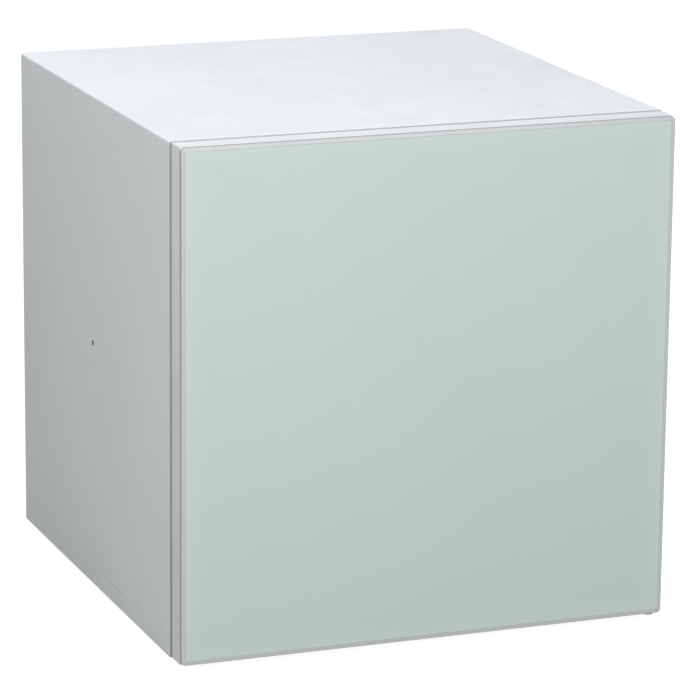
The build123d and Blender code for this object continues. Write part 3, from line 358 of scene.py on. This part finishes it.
# ------------------------------------------------------------------ mesh pieces
def piece(name, body, slot, mesh, *replaced):
    """Makes a finished object from a bmesh; it rides on its body and replaces the named nodes."""
    data = bpy.data.meshes.new(name)
    bmesh.ops.recalc_face_normals(mesh, faces=mesh.faces)
    mesh.to_mesh(data)
    mesh.free()
    made = bpy.data.objects.new(name, data)
    bpy.context.scene.collection.objects.link(made)
    data.materials.append(FINISHES[slot].material)
    for face in data.polygons:
        face.use_smooth = True
    data.set_sharp_from_angle(angle=SHARP_ANGLE)
    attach(made, body)
    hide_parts(*replaced)


def turned(mesh, centre, outline, steps=64, wave=None):
    """Adds a closed turned shape about an upright axis; outline lists (radius, height) in metres."""
    rings = []
    for radius, height in outline:
        ring = []
        for step in range(steps):
            angle = 2 * math.pi * step / steps
            reach = radius + (wave(step, radius, height) if wave else 0)
            x = centre[0] + reach * math.cos(angle)
            y = centre[1] + reach * math.sin(angle)
            ring.append(mesh.verts.new((x, y, centre[2] + height)))
        rings.append(ring)
    for lower, upper in zip(rings, rings[1:] + rings[:1]):
        for step in range(steps):
            after = (step + 1) % steps
            mesh.faces.new((lower[step], lower[after], upper[after], upper[step]))


def door_seal():
    """The magnetic seal: a flange, two folds and a magnet pocket, mitred at the corners."""
    low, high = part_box("door_gasket")
    depth = high.y - low.y
    # Section: inset from the outer edge in mm, and share of the depth
    section = [
        (1.2, 0.0), (14.8, 0.0), (15.7, 0.1), (15.8, 0.24), (14.6, 0.36), (12.9, 0.44),
        (12.9, 0.5), (14.8, 0.58), (15.9, 0.7), (15.9, 0.86), (15.2, 0.97), (13.4, 1.0),
        (12.6, 0.9), (11.8, 1.0), (8.0, 0.96), (4.2, 1.0), (3.4, 0.9), (2.6, 1.0), (0.8, 0.97),
        (0.1, 0.86), (0.1, 0.7), (1.2, 0.58), (3.1, 0.5), (3.1, 0.44), (1.4, 0.36), (0.2, 0.24),
        (0.3, 0.1),
    ]  # fmt: skip
    middle = 8.0
    # Along each side: place from corner to corner, and width of the section there
    along = ((0.0, 0.9), (0.004, 0.9), (0.008, 1.0), (0.3, 1.0), (0.7, 1.0), (0.992, 1.0), (0.996, 0.9))
    stations = [(corner, part, pinch) for corner in range(4) for part, pinch in along]
    mesh = bmesh.new()
    loops = []
    for corner, part, pinch in stations:
        loop = []
        for inset, rise in section:
            reach = (middle + (inset - middle) * pinch) * MM
            x0, x1, z0, z1 = low.x + reach, high.x - reach, low.z + reach, high.z - reach
            ends = [(x0, z0), (x1, z0), (x1, z1), (x0, z1)]
            start, end = ends[corner], ends[(corner + 1) % 4]
            x = start[0] + (end[0] - start[0]) * part
            z = start[1] + (end[1] - start[1]) * part
            loop.append(mesh.verts.new((x, low.y + depth * rise, z)))
        loops.append(loop)
    for one, other in zip(loops, loops[1:] + loops[:1]):
        for index in range(len(section)):
            after = (index + 1) % len(section)
            mesh.faces.new((one[index], one[after], other[after], other[index]))
    piece("door_seal", "door", "grey_rubber", mesh, "door_gasket")


def corners_of(node, margin):
    """The four upright axes of a node that holds four equal round solids of this radius."""
    low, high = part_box(node)
    return [
        (x, y)
        for x in (low.x + margin, high.x - margin)
        for y in (low.y + margin, high.y - margin)
    ]


def compressor_mounts():
    """The four waisted rubber mounts under the compressor."""
    low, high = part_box("compressor_grommets")
    height = high.z - low.z
    outline = [
        (3.0, 0.0), (8.6, 0.0), (9.0, 0.03), (9.0, 0.12), (7.7, 0.2), (7.5, 0.3), (8.6, 0.38),
        (8.8, 0.44), (8.6, 0.5), (7.5, 0.56), (7.7, 0.66), (9.0, 0.72), (9.0, 0.8), (8.7, 0.825),
        (6.0, 0.83), (6.0, 0.97), (5.6, 1.0), (3.0, 1.0),
    ]  # fmt: skip
    mesh = bmesh.new()
    for x, y in corners_of("compressor_grommets", MOUNT_RADIUS):
        turned(mesh, (x, y, low.z), [(r * MM, part * height) for r, part in outline], 48)
    piece("compressor_mounts", "cabinet", "black_rubber", mesh, "compressor_grommets")


def rear_rubber_feet():
    """The two push-in rubber feet, with a ribbed side and rings under the sole."""
    low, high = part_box("rear_feet")
    outline = [
        (0.0, 4.0), (2.2, 4.0), (2.4, 1.2), (4.0, 1.0), (5.4, 0.4), (6.2, 0.4), (6.8, 0.0), (8.0, 0.0),
        (8.6, 0.9), (9.8, 0.9), (10.4, 0.0), (13.0, 0.0), (13.9, 0.5), (14.5, 1.6), (14.9, 3.0),
        (14.9, 4.2), (14.5, 4.6), (14.5, 5.4), (14.9, 5.8), (14.9, 7.0), (14.5, 7.4), (14.5, 8.2),
        (14.9, 8.6), (14.9, 9.5), (14.4, 10.0), (3.0, 10.0), (3.0, 10.8),
        (4.5, 11.0), (4.3, 12.2), (3.0, 15.0), (0.0, 15.0),
    ]  # fmt: skip
    mesh = bmesh.new()
    for x in (low.x + FOOT_RADIUS, high.x - FOOT_RADIUS):
        turned(mesh, (x, low.y + FOOT_RADIUS, low.z), [(r * MM, h * MM) for r, h in outline], 64)
    bmesh.ops.remove_doubles(mesh, verts=mesh.verts, dist=1e-7)
    piece("rear_rubber_feet", "cabinet", "black_rubber", mesh, "rear_feet")


def levelling_foot(side):
    """A screw foot: a pad with gripping flutes and a threaded stud."""
    node = f"front_foot_{side}"
    low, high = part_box(node)
    outline = [
        (0.0, 1.0), (6.0, 1.0), (6.6, 0.0), (13.0, 0.0), (13.8, 0.5), (14.6, 1.4), (14.95, 2.2),
        (14.95, 8.4), (14.5, 9.4), (13.6, PAD_HEIGHT), (4.2, PAD_HEIGHT),
    ]  # fmt: skip
    top = (high.z - low.z) / MM
    turn = PAD_HEIGHT
    while turn + THREAD_PITCH < top - 0.6:
        outline += [(THREAD_ROOT, turn + 0.3), (THREAD_CREST, turn + 0.65), (THREAD_CREST, turn + 0.8)]
        turn += THREAD_PITCH
    outline += [(THREAD_ROOT, top - 0.8), (3.0, top), (0.0, top)]

    def flutes(step, reach, height):
        on_side = reach > FLUTE_RADIUS * MM and FLUTE_LOW * MM < height < FLUTE_HIGH * MM
        return -FLUTE_DEPTH * MM if on_side and step % 4 in (2, 3) else 0.0

    mesh = bmesh.new()
    centre = (low.x + FOOT_RADIUS, low.y + FOOT_RADIUS, low.z)
    turned(mesh, centre, [(r * MM, h * MM) for r, h in outline], FOOT_STEPS, flutes)
    bmesh.ops.remove_doubles(mesh, verts=mesh.verts, dist=1e-7)
    piece(f"levelling_foot_{side}", f"foot_{side}", "black_plastic", mesh, node)


door_seal()
compressor_mounts()
rear_rubber_feet()
levelling_foot("left")
levelling_foot("right")


# ------------------------------------------------------------------ studio
def aimed(location, target):
    """A matrix at location whose -Z axis points at the target."""
    location = Vector(location)
    turn = (Vector(target) - location).to_track_quat("-Z", "Y")
    return Matrix.Translation(location) @ turn.to_matrix().to_4x4()


def softbox(name, location, target, size, watts, tint=(1, 1, 1)):
    """A square area light, aimed at the target."""
    light = bpy.data.lights.new(name, "AREA")
    light.shape = "SQUARE"
    light.size = size
    light.energy = watts
    light.color = tint
    made = bpy.data.objects.new(name, light)
    bpy.context.scene.collection.objects.link(made)
    made.matrix_world = aimed(location, target)


def studio_floor():
    """A wide, pale grey floor that glows for the camera alone, so that it looks nearly white."""
    mesh = bmesh.new()
    bmesh.ops.create_grid(mesh, x_segments=1, y_segments=1, size=FLOOR_HALF)
    data = bpy.data.meshes.new("studio_floor")
    mesh.to_mesh(data)
    mesh.free()
    floor = bpy.data.objects.new("studio_floor", data)
    bpy.context.scene.collection.objects.link(floor)
    finish = Finish("studio_floor", Roughness=0.9, Specular_IOR_Level=0.0)
    finish.paint(finish.ramp(finish.noise(2), (0.3, (0.29, 0.29, 0.29, 1)), (0.7, (0.31, 0.31, 0.31, 1))))
    glow = finish.node("ShaderNodeEmission", Color=(1, 1, 1, 1), Strength=FLOOR_GLOW)
    lit = finish.node("ShaderNodeAddShader")
    finish.tree.links.new(finish.shader.outputs[0], lit.inputs[0])
    finish.tree.links.new(glow.outputs[0], lit.inputs[1])
    seen = finish.node("ShaderNodeLightPath").outputs["Is Camera Ray"]
    mix = finish.node("ShaderNodeMixShader", Fac=seen)
    finish.tree.links.new(finish.shader.outputs[0], mix.inputs[1])
    finish.tree.links.new(lit.outputs[0], mix.inputs[2])
    finish.tree.links.new(mix.outputs[0], finish.tree.nodes["Material Output"].inputs["Surface"])
    data.materials.append(finish.material)


def studio_world():
    """A soft, dim sky that the camera sees as plain white."""
    world = bpy.data.worlds.new("studio")
    world.use_nodes = True
    bpy.context.scene.world = world
    tree = world.node_tree
    background = tree.nodes["Background"]
    background.inputs["Color"].default_value = (0.96, 0.98, 1.0, 1)
    background.inputs["Strength"].default_value = WORLD_LIGHT
    seen = tree.nodes.new("ShaderNodeBackground")
    seen.inputs["Color"].default_value = (1, 1, 1, 1)
    seen.inputs["Strength"].default_value = WORLD_SEEN
    path = tree.nodes.new("ShaderNodeLightPath")
    mix = tree.nodes.new("ShaderNodeMixShader")
    tree.links.new(path.outputs["Is Camera Ray"], mix.inputs[0])
    tree.links.new(background.outputs[0], mix.inputs[1])
    tree.links.new(seen.outputs[0], mix.inputs[2])
    tree.links.new(mix.outputs[0], tree.nodes["World Output"].inputs["Surface"])


def studio_camera():
    """The camera, at the fitted place and turn."""
    turn, rise, roll = (math.radians(angle) for angle in (AZIMUTH, ELEVATION, ROLL))
    back = Vector((math.sin(turn) * math.cos(rise), -math.cos(turn) * math.cos(rise), math.sin(rise)))
    level = (-back).cross(Vector((0, 0, 1))).normalized()
    upright = level.cross(-back)
    right = level * math.cos(roll) + upright * math.sin(roll)
    up = -level * math.sin(roll) + upright * math.cos(roll)
    place = Vector(TARGET) + back * DISTANCE + right * SHIFT_RIGHT + up * SHIFT_UP
    data = bpy.data.cameras.new("camera")
    data.lens = LENS
    data.sensor_width = SENSOR
    data.clip_start = 0.1
    data.clip_end = 100
    camera = bpy.data.objects.new("camera", data)
    bpy.context.scene.collection.objects.link(camera)
    turned_axes = Matrix((right, up, back)).transposed().to_4x4()
    camera.matrix_world = Matrix.Translation(place) @ turned_axes
    bpy.context.scene.camera = camera


studio_floor()
studio_world()
studio_camera()
softbox("front", (0.6, -3.0, 1.2), (0, 0, 0.3), 1.6, 54)
softbox("front_left", (-1.3, -1.3, 0.92), (-0.2, 0, 0.35), 0.6, 10, (0.995, 1.0, 0.97))
softbox("upper_left", (-1.0, 0.35, 1.25), (-0.25, 0.1, 0.45), 0.5, 3.3, (0.99, 1.0, 0.97))
softbox("overhead", (0.1, 0.2, 2.3), (0, 0, 0.4), 1.8, 21, (0.98, 1.0, 1.08))
softbox("overhead_front", (-0.3, -1.4, 2.2), (0, 0, 0.4), 1.6, 6.5, (0.98, 1.0, 1.05))
softbox("back_fill", (1.5, 2.6, 0.27), (0, 0, 0.2), 0.45, 20)
bpy.context.scene.view_settings.view_transform = "Standard"
